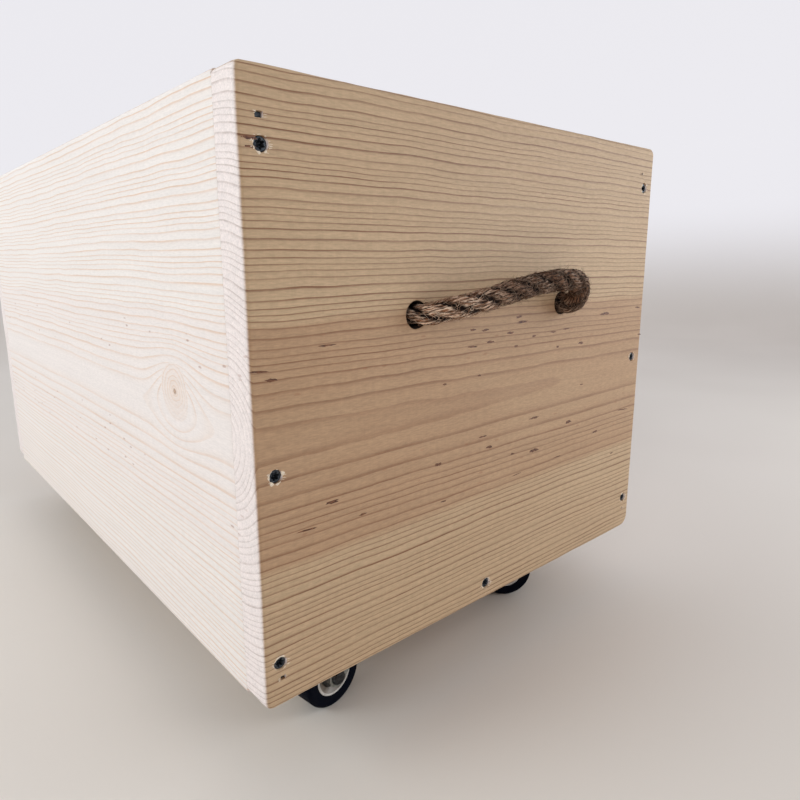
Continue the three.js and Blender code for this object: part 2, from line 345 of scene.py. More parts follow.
def knot_field(n, along, height, knot):
    """How far a knot moves the rings, and the distance from its middle as a share of its size."""
    at, up, half_long, half_high, push = knot
    u = n.math("DIVIDE", n.math("SUBTRACT", along, at), half_long)
    v = n.math("DIVIDE", n.math("SUBTRACT", height, up), half_high)
    square = n.math("ADD", n.math("MULTIPLY", u, u), n.math("MULTIPLY", v, v))
    bell = n.math("EXPONENT", n.math("MULTIPLY", square, -0.45))
    rough = n.noise(n.vector(n.math("MULTIPLY", u, 1.6), n.math("MULTIPLY", v, 1.6), at), detail=2)
    return n.math("MULTIPLY", bell, push), n.math("MULTIPLY_ADD", rough, 0.3, n.math("SQRT", square))


def log_radius(n, seeded, along, depth, height, pith, drift):
    """Distance from the pith, height above it, and the quick wave of the grain."""
    slow = n.noise(n.times(seeded, (1 / 150, 1 / 60, 1 / 60)), detail=1)
    quick = n.noise(n.times(seeded, (1 / 38, 1 / 26, 1 / 26)), detail=1)
    quick_shift = n.math("SUBTRACT", quick, 0.5)
    wave = n.math("MULTIPLY_ADD", n.math("SUBTRACT", slow, 0.5), SLOW_WAVE,
                  n.math("MULTIPLY", quick_shift, QUICK_WAVE))
    above = n.math("ADD", n.math("SUBTRACT", height, pith[1]), wave)

    # growth below the pith is wider: the distance downwards is squeezed
    below = n.math("MINIMUM", above, 0.0)
    lag = n.math("SUBTRACT", 1.0, n.math("EXPONENT", n.math("DIVIDE", below, SQUEEZE_REACH)))
    rise = n.math("MULTIPLY_ADD", lag, SQUEEZE, above)

    across = n.math("SUBTRACT", depth, n.math("MULTIPLY_ADD", along, drift, pith[0]))
    radius = n.math("SQRT", n.math("ADD", n.math("MULTIPLY", rise, rise),
                                   n.math("MULTIPLY", across, across)))
    radius = n.math("MULTIPLY_ADD", quick_shift, RIPPLE, radius)
    ripple = n.noise(n.times(seeded, (1 / 16, 1 / 11, 1 / 11)), detail=2)
    return n.math("MULTIPLY_ADD", n.math("SUBTRACT", ripple, 0.5), RIPPLE, radius), rise, quick


def growth_rings(n, seeded, radius, from_knot, in_knot, seed):
    """The late wood of the rings, the soft shading that leads up to it, and each ring's strength."""
    turn = n.math("MULTIPLY", n.math("SUBTRACT", radius, SWELL_FROM), TURN / SWELL_PERIOD)
    swell = n.math("MULTIPLY", n.math("SINE", turn), RING_SWELL)
    count = n.math("ADD", n.math("MULTIPLY_ADD", radius, 1 / RING_PITCH, RING_PHASE), swell)
    own_rings = n.math("SUBTRACT", n.math("MULTIPLY", from_knot, KNOT_RINGS), count)
    count = n.math("MULTIPLY_ADD", in_knot, own_rings, count)
    ring = n.math("FLOOR", count)
    share = n.math("SUBTRACT", count, ring)
    late = n.math("MULTIPLY", n.step(share, LATE_FROM, LATE_FULL), n.step(share, 1.0, 0.97))
    chance = n.add("ShaderNodeTexWhiteNoise", noise_dimensions="1D")
    n.put(chance.inputs["W"], n.math("ADD", ring, seed * 7.3))
    along_ring = n.noise(n.times(seeded, (1 / 55, 1 / 7, 1 / 7)), detail=2)
    strength = n.math("MULTIPLY", n.step(chance.outputs[0], 0.0, 1.0, 0.72, 1.0),
                      n.step(along_ring, 0.25, 0.7, 0.65, 1.1))
    return late, n.step(share, 0.3, 0.95), strength


def resin_spots(n, along, depth, height, fibre, radius, seed):
    """Small ragged flecks drawn out along the grain, in some of the log's years."""
    spots = n.add("ShaderNodeTexVoronoi", feature="F1")
    n.put(spots.inputs["Vector"], n.vector(n.math("MULTIPLY_ADD", along, 1 / FLECK_SIZE[0], seed * 3.1),
                                           n.math("DIVIDE", depth, FLECK_SIZE[1]),
                                           n.math("DIVIDE", height, FLECK_SIZE[2])))
    spots.inputs["Scale"].default_value = 1
    picked = n.step(n.split(spots.outputs["Color"])[0], 0.64, 0.72)
    ragged = n.math("MULTIPLY_ADD", n.math("SUBTRACT", fibre, 0.5), 0.16, spots.outputs["Distance"])
    band = n.math("MULTIPLY", n.step(radius, FLECK_RINGS[0] - 3, FLECK_RINGS[0] + 2),
                  n.step(radius, FLECK_RINGS[1] + 3, FLECK_RINGS[1] - 4))
    return n.math("MULTIPLY", n.math("MULTIPLY", n.step(ragged, 0.19, 0.09), picked), band)


def pine(name, grain, pith, drift, sap, heart, line, seed, knots=(), lit_end_tone=None, flecks=0.9, fibres=1.0):
    """Solid pine sawn from a log whose pith runs along the grain axis, 0 for X or 1 for Y.

    pith is its place across the board and its height, in mm; drift is how far it moves across
    the board for each mm along. Rings, flecks and fibres all follow from the place in the log;
    flecks and fibres say how strongly those two show.
    """
    n = Nodes(name)
    xyz = n.split(n.object_mm())
    along, depth, height = xyz[grain], xyz[1 - grain], xyz[2]
    seeded = n.plus(n.vector(along, depth, height), (seed * 131.0, seed * 57.0, seed * 23.0))
    radius, rise, quick = log_radius(n, seeded, along, depth, height, pith, drift)
    from_knot = 9.0  # well outside any knot
    for knot in knots:
        push, reach = knot_field(n, along, height, knot)
        radius = n.math("ADD", radius, push)
        from_knot = n.math("MINIMUM", from_knot, reach)
    in_knot = n.step(from_knot, KNOT_EDGE + 0.01, KNOT_EDGE - 0.02)
    late, soft, strength = growth_rings(n, seeded, radius, from_knot, in_knot, seed)

    # fibres, streaks and marks of the sander
    fibre = n.noise(n.times(seeded, (1 / 5, 1.3, 1.3)), detail=3, roughness=0.65)
    streak = n.noise(n.times(seeded, (1 / 70, 1 / 2.2, 1 / 2.2)), detail=2)
    cloud = n.noise(n.times(seeded, (1 / 90, 1 / 45, 1 / 45)), detail=2)
    sanding = n.noise(n.times(seeded, (1 / 1.3, 1 / 14, 1 / 14)), detail=2)

    # sapwood, heartwood and knots
    in_heart = n.step(n.math("ADD", radius, n.math("MULTIPLY", streak, 5.0)),
                      HEART_RADIUS + 5, HEART_RADIUS)
    wood = n.mix(in_heart, sap, heart)
    wood = n.mix(n.step(cloud, 0.3, 0.75, 0.0, 0.35), wood, n.mix(0.5, sap, heart))
    knot_tone = n.math("MULTIPLY", in_knot, n.step(from_knot, 0.0, 1.1, 0.6, 0.2))
    wood = n.mix(knot_tone, wood, n.mix(0.45, line, wood))
    wood = n.mix(n.step(from_knot, 0.30, 0.20), wood, n.mix(0.5, line, KNOT_HEART))

    # the rings' lines, fainter in the heart, on end grain and where they graze the face
    late_share = n.math("MULTIPLY", n.math("MULTIPLY", late, strength),
                        n.step(in_heart, 0.0, 1.0, 1.0, 0.8))
    slant = n.math("DIVIDE", n.math("ABSOLUTE", rise), radius)
    late_share = n.math("MULTIPLY", late_share, n.step(slant, 0.0, 0.6, 0.3, 1.0))
    tone = n.math("MAXIMUM", n.math("MULTIPLY", late_share, LINE_TONE),
                  n.math("MULTIPLY", soft, SOFT_TONE))
    # painted light: end grain is drawn pale, as it looks where the window light falls on it, and its lines
    # fainter
    if lit_end_tone is not None:
        facing = n.split(n.add("ShaderNodeTexCoord").outputs["Normal"])[grain]
        lit_end_grain_share = n.step(n.math("ABSOLUTE", facing), 0.5, 0.95)
        wood = n.mix(lit_end_grain_share, wood, lit_end_tone)
        tone = n.math("MULTIPLY", tone, n.step(lit_end_grain_share, 0.0, 1.0, 1.0, END_GRAIN_LINES))
    wood = n.mix(tone, wood, line)

    wobble = n.math("MULTIPLY_ADD", quick, 3.0, height)
    fleck = resin_spots(n, along, depth, wobble, fibre, radius, seed)
    wood = n.mix(n.math("MULTIPLY", fleck, flecks), wood, FLECK_COLOUR)

    light = n.math("ADD", n.step(fibre, 0.25, 0.75, 0.87, 1.09), n.step(streak, 0.2, 0.8, -0.05, 0.05))
    light = n.math("MULTIPLY", light, n.step(sanding, 0.2, 0.8, 0.975, 1.02))
    wood = n.mix(fibres, wood, n.mix(1.0, wood, n.grey(light), "MULTIPLY"))

    roughness = n.math("ADD", n.step(fibre, 0.2, 0.8, 0.68, 0.54), n.math("MULTIPLY", late, -0.08))
    raised = n.math("SUBTRACT", n.math("MULTIPLY", late, 0.5), n.math("MULTIPLY", fleck, 0.8))
    height_map = n.math("ADD", n.math("MULTIPLY", fibre, 0.6), raised)
    return n.finish(wood, roughness, height_map, depth_mm=0.12, strength=0.35, IOR=1.45)


END_TONES = {"sap": rgb(0.60, 0.425, 0.26), "heart": rgb(0.515, 0.325, 0.19),
             "line": rgb(0.205, 0.075, 0.027)}
# painted light: the side boards' pine is drawn near white, much paler than the end boards' pine, as the
# window-lit side looks; its fibres show at half strength
LIT_SIDE_TONES = {"sap": rgb(0.88, 0.81, 0.765), "heart": rgb(0.875, 0.79, 0.75),
              "line": rgb(0.76, 0.53, 0.38), "fibres": 0.5}
# painted light: the end boards' end grain drawn near white, as it looks on the window-lit side
LIT_END_GRAIN = rgb(0.90, 0.80, 0.765)

# ---- boards -------------------------------------------------------------------------------

EDGE_ROUND = 2.4
RIM_ROUND = 2.0
JOINT_EASE = 0.25  # rounding where two boards meet
CORNERS = {"near_bottom": 5.0, "far_bottom": 9.0, "far_top": 5.0, "near_top": 4.0}
ARC_STEPS = 8
SHARPEST = 0.05  # mm of radius that a corner keeps however far it is drawn in
EDGE_STEP = 6.0  # mm between points along a straight edge
EDGE_WEAR = 0.28  # mm that an edge is worn at most


def corner_point(corner, radius, inset, quarters):
    """A point on a rounded corner drawn in by inset, quarters of a turn on from its left."""
    x, y, to_middle_x, to_middle_y = corner
    kept = max(radius - inset, SHARPEST)
    angle = math.pi + quarters * math.pi / 2
    return (x + to_middle_x * radius + kept * math.cos(angle),
            y + to_middle_y * radius + kept * math.sin(angle))


def rounded_outline(x0, y0, x1, y1, radii, inset):
    """Points round a rectangle drawn in by inset; radii counter-clockwise from the lower left."""
    corners = [(x0, y0, 1, 1), (x1, y0, -1, 1), (x1, y1, -1, -1), (x0, y1, 1, -1)]
    points = []
    for i, corner in enumerate(corners):
        points += [corner_point(corner, radii[i], inset, i + k / ARC_STEPS) for k in range(ARC_STEPS + 1)]
        following = corners[(i + 1) % 4]
        a = np.array(points[-1])
        b = np.array(corner_point(following, radii[(i + 1) % 4], inset, i + 1))
        full = math.hypot(following[0] - corner[0], following[1] - corner[1])
        steps = max(1, round(full / EDGE_STEP))
        points += [tuple(a + (b - a) * k / steps) for k in range(1, steps)]
    return np.array(points)


def quarter(radius, steps=6):
    """(drawn back, drawn in) along a quarter round edge, from the side to the face."""
    angles = [math.pi / 2 * k / steps for k in range(steps + 1)]
    return [(radius * (1 - math.sin(a)), radius * (1 - math.cos(a))) for a in angles]


def worn(points, amount):
    """Moves points in by a little, unevenly, towards the middle of the board."""
    middle = points.mean(axis=0)
    drawn = points.copy()
    for i, p in enumerate(points):
        broad, fine = noise.noise(Vector(p * 0.055)), noise.noise(Vector(p * 0.31))
        depth = amount * max(0.0, 0.5 + broad * 0.9 + fine * 0.35)
        drawn[i] += np.sign(middle - p) * depth * (np.abs(middle - p) > 1)
    return drawn


SCREW_PLACES = {  # mm from the near edge, and above the lower edge
    "near_top": (11, 268),
    "near_middle": (11, 121),
    "near_bottom": (9, 24),
    "far_top": (333, 271),
    "far_middle": (333, 144),
    "far_bottom": (335, 26),
    "bottom": (164, 11),
}
BRAD_PLACES = ((10.8, 279.6, 4.2, 2.8), (328.8, 281, 2.4, 1.4), (10.2, 15.6, 3.0, 2.2),
               (335.1, 16.5, 2.0, 1.3))  # the same, then length and height of each hole
ROPE_HOLES = {"near": 101, "far": 234}
ROPE_HOLE_HEIGHT = 191
ROPE_HOLE_RADIUS = 7.5
SCREW_SUNK = 0.8


def at_face(shape, from_near, height):
    """A shape drawn round the origin, moved to its place on the front face."""
    vertices, faces = shape
    return np.asarray(vertices) + np.array((FACE_X, NEAR_Y + from_near, LOWER_Z + height)), faces


def rope_hole(from_near, seed):
    """The drilled hole, its mouths a little wider."""
    def ragged(angle, along):
        return 1 + 0.02 * round_noise(angle, 2, along * 0.1 + seed)

    wall = FACE_X - INNER_X
    profile = [(ROPE_HOLE_RADIUS + wider, along) for wider, along in (
        (1.6, 1.0), (0.6, 0.0), (0.15, -0.35), (0, -0.9), (0, -wall + 0.8), (0.5, -wall), (1.6, -wall - 1))]
    return at_face(loft(turned(profile, 64, ragged)), from_near, ROPE_HOLE_HEIGHT)


def screw_hole(place, seed):
    """A countersunk hole with a torn mouth."""
    def ragged(angle, along):
        torn = 0.07 if along > -0.5 else 0.0
        return 1 + torn * round_noise(angle, 2.1, seed * 3.7)

    profile = [(4.5, 1.0), (3.8, 0.0), (3.45, -0.5), (3.38, -1.2), (2.4, -4.2), (2.2, -30.0)]
    return at_face(loft(turned(profile, 40, ragged)), *place)


def brad_hole(from_near, height, length, high, seed):
    """A small torn pit, longer along the grain."""
    rings = []
    for out, scale in ((0.6, 1.1), (0.0, 1.0), (-0.5, 0.94), (-19.0, 0.8)):
        ring = []
        for k in range(16):
            angle = TURN * k / 16
            square = max(abs(math.cos(angle)), abs(math.sin(angle)))
            rough = 1 + 0.12 * round_noise(angle, 1.7, seed * 5.1)
            ring.append((out, length / 2 * scale * rough * math.cos(angle) / square,
                         high / 2 * scale * rough * math.sin(angle) / square))
        rings.append(np.array(ring))
    return at_face(loft(rings), from_near, height)


def end_board(end, material):
    radii = [CORNERS[c] for c in ("near_bottom", "far_bottom", "far_top", "near_top")]
    sections = [(INNER_X + back, drawn_in) for back, drawn_in in reversed(quarter(JOINT_EASE, 3))]
    sections += [(INNER_X + 4, 0.0), (FACE_X - EDGE_ROUND - 3, 0.0)]
    sections += [(FACE_X - back, drawn_in) for back, drawn_in in quarter(EDGE_ROUND)]
    rings = []
    for x, inset in sections:
        outline = rounded_outline(NEAR_Y, LOWER_Z, HALF_WIDTH, UPPER_Z, radii, inset)
        ring = np.column_stack([np.full(len(outline), x), outline])
        if FACE_X - EDGE_ROUND - 1 < x < FACE_X - 0.02:
            ring = worn(ring, EDGE_WEAR)
        rings.append(ring)
    board = outward(new_piece(f"pine_end_{end}", *loft(rings)))
    cutters = [rope_hole(y, i) for i, y in enumerate(ROPE_HOLES.values())]
    cutters += [screw_hole(place, i) for i, place in enumerate(SCREW_PLACES.values())]
    cutters += [brad_hole(*place, seed=i) for i, place in enumerate(BRAD_PLACES)]
    cut_out(board, cutters)
    crisp(board)
    turn_end(board, end)
    clad(board, material, "pine", f"end_board_{end}")
    shade_bores(board, end)


def shade_bores(board, end):
    """Paints shade in the rope holes: their walls get a near-black material that stands for the shade deep
    inside them.
    """
    board.data.materials.append(BORE_SHADE)
    for face in board.data.polygons:
        x, y, z = face.center * ENDS[end] / MM
        height = abs(z) - LOWER_Z - ROPE_HOLE_HEIGHT
        for from_near in ROPE_HOLES.values():
            near_axis = math.hypot(y - NEAR_Y - from_near, height) < ROPE_HOLE_RADIUS + 0.5
            if near_axis and INNER_X + 1 < x < FACE_X - 0.5:
                face.material_index = 1


def bore_shade_paint(name):
    n = Nodes(name)
    torn = n.mottle((0.5, 1.5, 1.5), 3)
    # painted shade: near black, for the shade deep in the rope holes, with a little rough texture
    colour = n.mix(n.step(torn, 0.3, 0.7), rgb(0.012, 0.009, 0.010), rgb(0.05, 0.03, 0.02))
    return n.finish(colour, n.step(torn, 0.3, 0.7, 0.95, 0.8), torn, depth_mm=0.3)


def side_board(side, outer, material):
    """One side board from end board to end board; outer is -1 for the one on -Y."""
    low, high = millimetres(f"side_board_{side}")
    radii = [EDGE_ROUND, RIM_ROUND, RIM_ROUND, EDGE_ROUND]
    if outer > 0:
        radii = [RIM_ROUND, EDGE_ROUND, EDGE_ROUND, RIM_ROUND]
    steps = round(2 * INNER_X / 8)
    places = [(-INNER_X + back, drawn_in) for back, drawn_in in reversed(quarter(JOINT_EASE, 3))]
    places += [(-INNER_X + 2 * INNER_X * k / steps, 0.0) for k in range(1, steps)]
    places += [(INNER_X - back, drawn_in) for back, drawn_in in quarter(JOINT_EASE, 3)]
    rings = []
    for x, inset in places:
        outline = rounded_outline(low[1], LOWER_Z, high[1], UPPER_Z, radii, inset)
        rings.append(np.column_stack([np.full(len(outline), x), outline]))
    board = crisp(outward(new_piece(f"pine_side_{side}", *loft(rings))))
    return clad(board, material, "pine", f"side_board_{side}")


def clad(piece, material, slot, *nodes, body="box"):
    """Gives a piece its material and body, and puts it in place of CAD nodes; slot is not used."""
    piece.data.materials.clear()
    piece.data.materials.append(material)
    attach(piece, body)
    if nodes:
        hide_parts(*nodes)
    return piece


# ---- rope ---------------------------------------------------------------------------------

ROPE_RADIUS = 6.0
ROPE_FULLNESS = 6.25  # mm from the middle to the outside of a strand
ROPE_LAY = 50.0  # mm along the rope in which a strand goes once round
STRANDS = 3
STRAND_RADIUS = 3.5
YARNS = 10  # ridges of yarn round a strand
RING_STEP = 0.7  # mm between rings of points along a strand

HANDLE_LENGTH = 206.0  # mm; the route is about 4 mm shorter, and this only places its thinning and shade
CLEAN_AND_LIT_TO = 75.0  # mm along it that are clean and drawn as lit, with painted highlights; the rest is matted and painted darker, as if in shade
# Long loose fibres: mm along the rope, angle round it, length and lift.
STRAYS = ((163, 1.9, 10, 9), (60, 1.6, 6, 2.5), (95, 1.7, 8, 3.5), (140, 1.4, 9, 4))
KNOT_PAST = 60.0  # mm of rope that a knot counts from
# The handle's route, in mm: out of the face, from the near edge, above the lower edge.
HANDLE_ROUTE = [
    (-20.3, 101, 191), (-10, 101.8, 191), (0, 103.4, 191.1), (6.5, 105.2, 191.6), (12, 109.6, 193.3),
    (18, 119.5, 195.8), (21, 135, 199), (22.5, 154, 202.6), (22.8, 175, 205.6), (22.8, 195, 207.3),
    (21.6, 211, 207.2), (18.5, 223.5, 205.2), (15.2, 230.5, 200.6), (11.5, 234.2, 195.6), (6.5, 235, 191.3),
    (0, 234.2, 191.1), (-10, 234, 191), (-20.3, 234, 191),
]


def gaps(points):
    """Distance from each point to the next."""
    return np.linalg.norm(np.diff(points, axis=0), axis=1)


def smooth_line(points, step):
    """A centripetal Catmull-Rom curve through points, evenly spaced."""
    p = np.array(points, float)
    p = np.vstack([2 * p[0] - p[1], p, 2 * p[-1] - p[-2]])
    line = [p[1]]
    for i in range(1, len(p) - 2):
        near = p[i - 1:i + 3]
        knots = np.concatenate([[0], np.cumsum(gaps(near) ** 0.5)])
        for t in np.linspace(knots[1], knots[2], 13)[1:]:
            a = [near[k] + (near[k + 1] - near[k]) * (t - knots[k]) / (knots[k + 1] - knots[k])
                 for k in range(3)]
            b = [a[k] + (a[k + 1] - a[k]) * (t - knots[k]) / (knots[k + 2] - knots[k]) for k in range(2)]
            line.append(b[0] + (b[1] - b[0]) * (t - knots[1]) / (knots[2] - knots[1]))
    line = np.array(line)
    along = np.concatenate([[0], np.cumsum(gaps(line))])
    at = np.linspace(0, along[-1], round(along[-1] / step) + 1)
    return np.stack([np.interp(at, along, line[:, k]) for k in range(3)], axis=1), at


def frames(line):
    """Two directions across the line at each point, carried along without twist."""
    tangent = np.gradient(line, axis=0)
    tangent /= np.linalg.norm(tangent, axis=1)[:, None]
    side = np.cross(tangent[0], (0, 0, 1.0))
    sides = []
    for t in tangent:
        side = side - (side @ t) * t
        side = side / np.linalg.norm(side)
        sides.append(side)
    sides = np.array(sides)
    return tangent, sides, np.cross(tangent, sides)


def strand_mesh(line, along, fullness, phase, seed, lay, past):
    """One laid strand: its shape, and the marks that the rope's material reads.

    A mark is the distance along the rope, the distance round the strand, and how far out of the
    rope the point lies, as a share of the rope's radius.
    """
    _, side, up = frames(line)
    turn = TURN * along / lay + phase
    out = side * np.cos(turn)[:, None] + up * np.sin(turn)[:, None]
    centre = line + out * (fullness * (ROPE_FULLNESS - STRAND_RADIUS))[:, None]
    _, s_side, s_up = frames(centre)
    columns = 4 * YARNS
    angle = np.linspace(0, TURN, columns, endpoint=False)
    rows, marks = [], []
    for i, c in enumerate(centre):
        yarn = YARNS * (angle + turn[i])
        depth = 0.45 + 0.4 * noise.noise(Vector((along[i] * 0.09, seed, 3.0)))
        ridge = depth * np.abs(np.cos(yarn / 2)) - 0.36
        ring = []
        for j, a in enumerate(angle):
            direction = s_side[i] * math.cos(a) + s_up[i] * math.sin(a)
            p = c + direction * STRAND_RADIUS * fullness[i]
            rough = noise.noise(Vector((along[i] * 0.45 + seed, (a + turn[i]) * 2.6, seed))) * 0.75
            lump = noise.noise(Vector(p * 0.16)) * 0.3
            ring.append(p + direction * (ridge[j] + rough + lump))
        rows.append(ring)
        how_far_out = np.linalg.norm(np.array(ring) - line[i], axis=1) / (ROPE_FULLNESS * fullness[i])
        marks += [(along[i] + past, (a + turn[i] + seed) * STRAND_RADIUS, out_share)
                  for a, out_share in zip(angle, how_far_out)]
    return loft(round_off(rows)), marks


def round_off(rows):
    """Draws the first and last rings of a strand in, so that its ends are round."""
    rows = [np.array(row) for row in rows]
    for k, scale in ((0, 0.35), (1, 0.75), (2, 0.92)):
        for row in (rows[k], rows[-1 - k]):
            middle = row.mean(axis=0)
            row[:] = middle + (row - middle) * scale
    return rows


def laid_rope(name, route, material, seed=0.0, lay=ROPE_LAY, fullness=None, past=0.0):
    """A three-strand rope along a route in millimetres.

    fullness scales its thickness at a distance along it; past is the length of rope before it.
    """
    line, along = smooth_line(route, RING_STEP)
    full = np.array([fullness(s) if fullness else 1.0 for s in along])
    shapes, marks = [], []
    for k in range(STRANDS):
        phase = TURN * k / STRANDS
        shape, places = strand_mesh(line, along, full, phase, seed + TURN * 3 * k, lay, past)
        shapes.append(shape)
        marks += places
    rope = new_piece(name, *joined(shapes), [material])
    mark_fibres(rope, marks)
    return outward(rope), line


def mark_fibres(piece, marks):
    """Keeps each point's mark, which the rope's material reads."""
    layer = piece.data.attributes.new("fibre", "FLOAT_VECTOR", "POINT")
    layer.data.foreach_set("vector", np.array(marks, np.float32).ravel())


def hair(line, sides, start, angle, length, thick, lift, dice):
    """One loose fibre that wanders over the rope and off it: a thin three-sided tube and its marks."""
    tangent, side, up = sides
    heading = dice.choice((0.0, math.pi)) + dice.gauss(0, 0.6)
    curl = dice.gauss(0, 0.5)
    steps = 8
    place, points = start, []
    for k in range(steps + 1):
        t = k / steps
        i = min(max(int(place / RING_STEP), 0), len(line) - 1)
        out = side[i] * math.cos(angle) + up[i] * math.sin(angle)
        radius = ROPE_RADIUS + 0.1 + 0.3 * math.sin(3 * t + length) + lift * t * t
        points.append(line[i] + tangent[i] * (place - i * RING_STEP) + out * radius)
        place += math.cos(heading) * length / steps
        angle += math.sin(heading) * length / steps / radius
        heading += curl * length / steps
    points = np.array(points)
    _, across, above = frames(points)
    corners = [c * TURN / 3 for c in range(3)]
    rows = [p + (across[k] * math.cos(c) + above[k] * math.sin(c)) * thick * (1 - 0.6 * k / steps)
            for k, p in enumerate(points) for c in corners]
    marks = [(start + k * 0.3, c * 0.05 + length * 7, 1.1) for k in range(steps + 1) for c in corners]
    return (rows, grid_faces(steps + 1, 3)), marks


def hairs(name, line, material, amount, reach, seed, thickest=0.5, past=0.0, strays=()):
    """Loose fibres that lie on a rope and stand off it, thickest at a share of its length.

    Each stray is one long fibre: its distance along, angle round, length and lift.
    """
    dice = random.Random(seed)
    sides = frames(line)
    total = (len(line) - 1) * RING_STEP
    shapes, marks = [], []
    wanted = [(start, angle, length, lift, 0.12) for start, angle, length, lift in strays]
    for _ in range(amount):
        start = total * dice.triangular(0.03, 0.97, thickest)
        lying = dice.random() < 0.75
        lift = dice.uniform(-0.3, 0.7) if lying else dice.uniform(1.0, 3.4)
        thick = dice.uniform(0.09, 0.2) if lying else dice.uniform(0.06, 0.11)
        wanted.append((start, dice.uniform(0, TURN), reach * dice.uniform(0.5, 1.5), lift, thick))
    for start, angle, length, lift, thick in wanted:
        shape, places = hair(line, sides, start, angle, length, thick, lift, dice)
        shapes.append(shape)
        marks += [(a + past, b, c) for a, b, c in places]
    fuzz = new_piece(name, *joined(shapes), [material])
    mark_fibres(fuzz, marks)
    return fuzz


def jute(name, painted_highlight, mid, dark):
    """Brown bast fibre, with painted light: painted highlights as bright dashes along the yarns, painted
    shade in the grooves, between the yarns and inside the wall, and a matted part painted darker, as if in
    shade.
    """
    n = Nodes(name)
    fibre = n.add("ShaderNodeAttribute", attribute_name="fibre").outputs["Vector"]
    along, around, out_share = n.split(fibre)
    fine = n.noise(n.times(fibre, (0.35, 1.7, 0.0)), detail=2, roughness=0.6)
    dashes = n.noise(n.times(fibre, (0.16, 1.1, 0.0)), detail=1)
    patch = n.mottle((0.09, 0.09, 0.09), 2)
    warp = n.noise(n.times(fibre, (0.11, 0.35, 0.0)), detail=2)
    strayed = n.math("MULTIPLY_ADD", warp, 3.2, around)
    ridge = n.math("ABSOLUTE", n.math("COSINE", n.math("MULTIPLY", strayed, YARNS / 2 / STRAND_RADIUS)))
    # the first part of the rope is drawn clean and as lit; the rest is matted and painted darker, as if in
    # shade
    clean_and_lit = n.step(along, CLEAN_AND_LIT_TO - 45, CLEAN_AND_LIT_TO + 20, 1.0, 0.0)
    # painted shade in the gaps between the yarns, stronger on the matted part, mixed with the fibres' own
    # uneven tone
    body = n.math("ADD", n.math("MULTIPLY", ridge, n.step(clean_and_lit, 0.0, 1.0, 0.25, 0.45)),
                  n.math("MULTIPLY", fine, 0.9))
    colour = n.mix(n.step(body, 0.42, 0.85), dark, n.mix(clean_and_lit, n.mix(0.45, mid, dark), mid))
    # painted highlights: bright dashes on the yarns' ridges, full on the lit first part and patchy on the
    # rest
    highlight_share = n.math("MULTIPLY", n.step(dashes, 0.40, 0.52), n.step(ridge, 0.25, 0.7))
    highlight_share = n.math("MULTIPLY", highlight_share, n.step(fine, 0.38, 0.52, 0.05, 1.0))
    highlight_share = n.math("MULTIPLY", highlight_share,
                    n.math("MULTIPLY_ADD", clean_and_lit, 0.8, n.step(patch, 0.4, 0.65, 0.05, 0.3)))
    # painted highlights on the loose fibres as well
    loose = n.step(out_share, 1.04, 1.09)
    highlight_share = n.math("MAXIMUM", highlight_share, n.math("MULTIPLY", loose, n.step(dashes, 0.48, 0.62, 0.0, 0.28)))
    colour = n.mix(highlight_share, colour, painted_highlight)
    # painted shade: dark in the grooves between the strands
    groove_shade = n.step(out_share, 0.93, 0.76)
    # painted shade: the rope is drawn dark where it runs inside the wall's holes
    in_wall_shade = n.step(n.math("PINGPONG", along, HANDLE_LENGTH / 2), WALL - 6, WALL - 12)
    colour = n.mix(n.math("MAXIMUM", groove_shade, in_wall_shade), colour, dark)
    roughness = n.step(highlight_share, 0.1, 0.8, 0.8, 0.42)
    height = n.math("ADD", n.math("MULTIPLY", fine, 0.7), n.math("MULTIPLY", ridge, 0.4))
    return n.finish(colour, roughness, height, depth_mm=0.5, strength=1.0, Specular_IOR_Level=0.2)


KNOT_ROUTE = [  # mm inwards from the wall, then across, for the near hole's knot
    (-1.5, 0, 0), (3, 0, 0), (9, -1, 1.5), (16, -2.5, 3), (21, 0, 6.5), (20, 6, 5.5), (15.5, 8, -1),
    (12.5, 3.5, -7.5), (9.5, -4, -7.5), (7, -8.2, -0.5), (6.5, -3.5, 7.4), (9, 4.5, 6.8), (13, 7.6, 0.5),
    (17, 4, -4.8), (21.5, -1.5, -4.5), (27, -3.2, -2.2), (33, -3, -1.5), (37.6, -2.4, -1.2),
]


def knot(end, where, material):
    """The overhand stopper knot behind the wall, with its short cut end."""
    mirror = 1 if where == "near" else -1
    y = NEAR_Y + ROPE_HOLES[where]
    route = [(INNER_X - 0.6 - inwards, y + mirror * p, LOWER_Z + ROPE_HOLE_HEIGHT + q)
             for inwards, p, q in KNOT_ROUTE]
    piece, line = laid_rope(f"knot_{end}_{where}", route, material, seed=40.0 + mirror * 5, lay=42,
                            past=KNOT_PAST)
    fuzz = hairs(f"knot_fuzz_{end}_{where}", line, material, 300, 7.0, 70 + mirror, past=KNOT_PAST)
    for part in (piece, fuzz):
        turn_end(part, end)
    clad(piece, material, "jute", f"rope_knot_{end}_{where}")
    clad(fuzz, material, "jute")
    return piece, fuzz


def handle_fullness(along):
    """The rope fills its holes inside, is squeezed at their mouths, and frayed fuller near the far one."""
    hole = FACE_X - INNER_X
    to_far = HANDLE_LENGTH - along
    mouth = ease(along, 4, hole - 6) * (1 - ease(along, hole, hole + 10))
    far_mouth = ease(to_far, 4, hole - 6) * (1 - ease(to_far, hole, hole + 8))
    return 1 - 0.14 * mouth - 0.12 * far_mouth + 0.1 * ease(along, 80, 140) * ease(to_far, hole, hole + 10)


def ease(value, low, high):
    t = min(max((value - low) / (high - low), 0.0), 1.0)
    return t * t * (3 - 2 * t)


